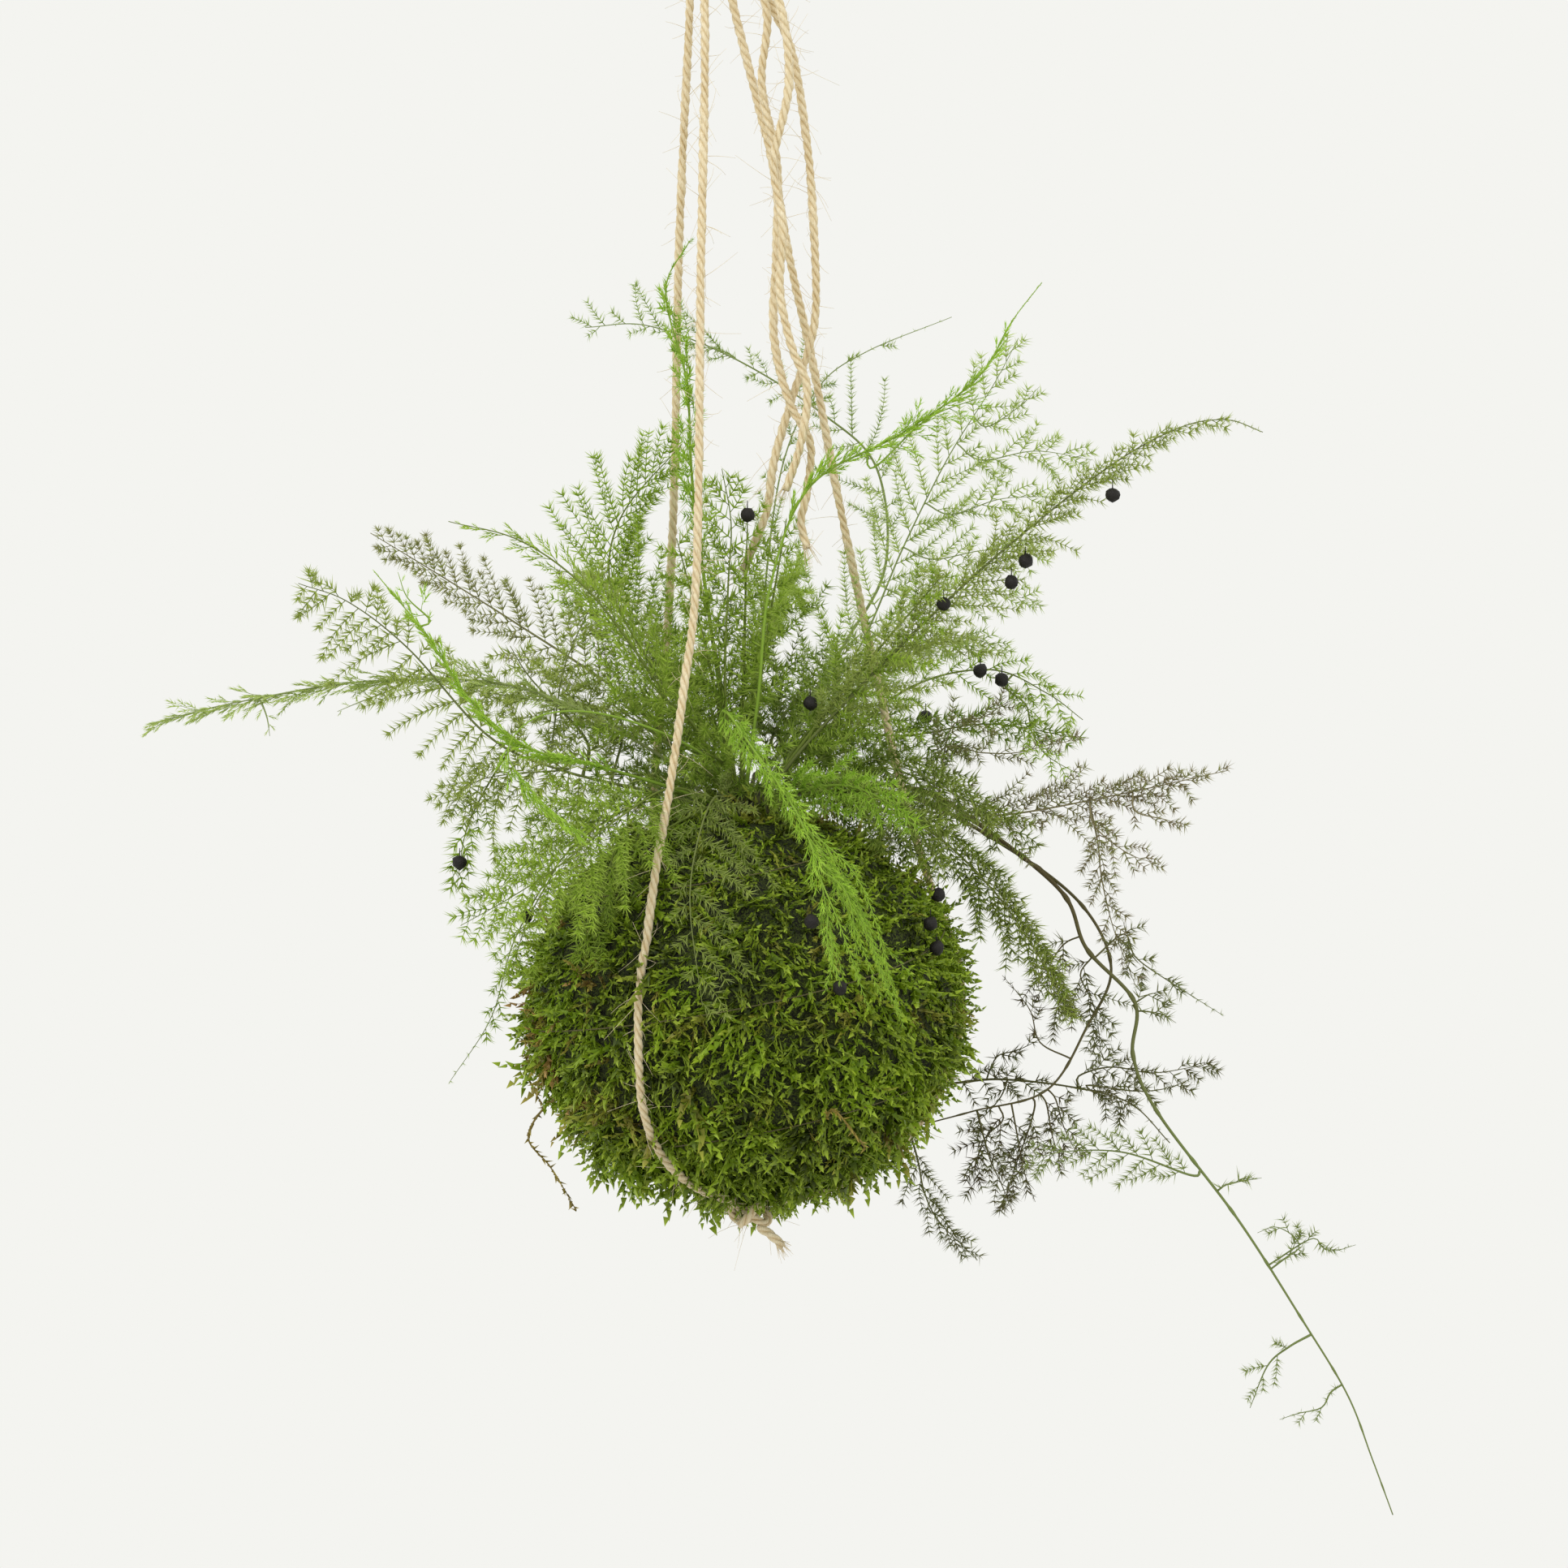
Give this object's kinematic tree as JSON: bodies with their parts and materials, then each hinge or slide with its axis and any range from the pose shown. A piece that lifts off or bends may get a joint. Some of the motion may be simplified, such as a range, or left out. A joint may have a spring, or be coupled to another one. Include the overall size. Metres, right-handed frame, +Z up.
{
  "type": "kokedama moss ball plant",
  "caption": "Hanging kokedama: a feathery asparagus fern rooted in a moss-wrapped soil ball, slung in a three-strand jute twine hanger with a loop at the top.",
  "frame": {"origin": "the point inside the top of the twine loop where a hook bears", "axes": "+Z up along the hanger, -Y towards the front of the plant, +X to its right as seen from the front"},
  "size_m": [0.4106, 0.263, 0.5963],
  "materials": {
    "moss": "living feather moss, fluffy overlapping shoots with pale tips",
    "soil": "damp pressed peat and clay soil",
    "root": "pale fleshy crown and tuberous roots",
    "thread": "fine pale binding thread",
    "jute": "three-ply jute twine, twisted and hairy",
    "foliage_fresh": "fine needle-like foliage, fresh green",
    "foliage_lime": "fine needle-like foliage, bright lime, seen edge-on",
    "foliage_airy": "fine needle-like foliage, thin and pale green",
    "foliage_dark": "fine needle-like foliage, dull dark green",
    "foliage_brown": "ageing foliage and bare vines, olive brown",
    "berry": "small wrinkled black berries with a dull sheen"
  },
  "bodies": {
    "root": {"berry_arm_1": "berry", "berry_arm_2": "berry", "berry_arm_3": "berry", "berry_arm_4": "berry", "berry_centre": "berry", "berry_dark": "berry", "berry_front": "berry", "berry_left": "berry", "berry_low": "berry", "berry_middle_1": "berry", "berry_middle_2": "berry", "binding_thread": "thread", "frond_back_left": "foliage_dark", "frond_back_low": "foliage_fresh", "frond_back_middle": "foliage_fresh", "frond_back_right": "foliage_dark", "frond_centre": "foliage_dark", "frond_centre_tall": "foliage_lime", "frond_front_bright": "foliage_fresh", "frond_front_left": "foliage_fresh", "frond_front_middle": "foliage_fresh", "frond_front_yellow": "foliage_lime", "frond_left_bright": "foliage_lime", "frond_left_fan": "foliage_fresh", "frond_left_feather": "foliage_fresh", "frond_left_hook": "foliage_lime", "frond_left_long": "foliage_fresh", "frond_left_low": "foliage_brown", "frond_left_middle": "foliage_fresh", "frond_left_upper": "foliage_dark", "frond_right_arm": "foliage_dark", "frond_right_brown": "foliage_brown", "frond_right_dark": "foliage_dark", "frond_right_drooping": "foliage_dark", "frond_right_fan": "foliage_airy", "frond_right_middle": "foliage_fresh", "frond_top_arch": "foliage_airy", "frond_top_bright": "foliage_lime", "frond_top_thin": "foliage_airy", "hang_loop": "jute", "loose_end_long": "jute", "loose_end_middle": "jute", "loose_end_short": "jute", "moss_cover": "moss", "root_crown": "root", "soil_ball": "soil", "spray_curled_end": "foliage_brown", "spray_curled_middle": "foliage_brown", "spray_left_hanging": "foliage_fresh", "spray_trailing_lower": "foliage_brown", "spray_trailing_upper": "foliage_brown", "top_knot": "jute", "twine_back": "jute", "twine_front": "jute", "twine_right": "jute", "under_knot": "jute", "under_tail": "jute", "vine_curled": "foliage_brown", "vine_lower": "foliage_brown", "vine_trailing": "foliage_brown"}
  },
  "joints": []
}
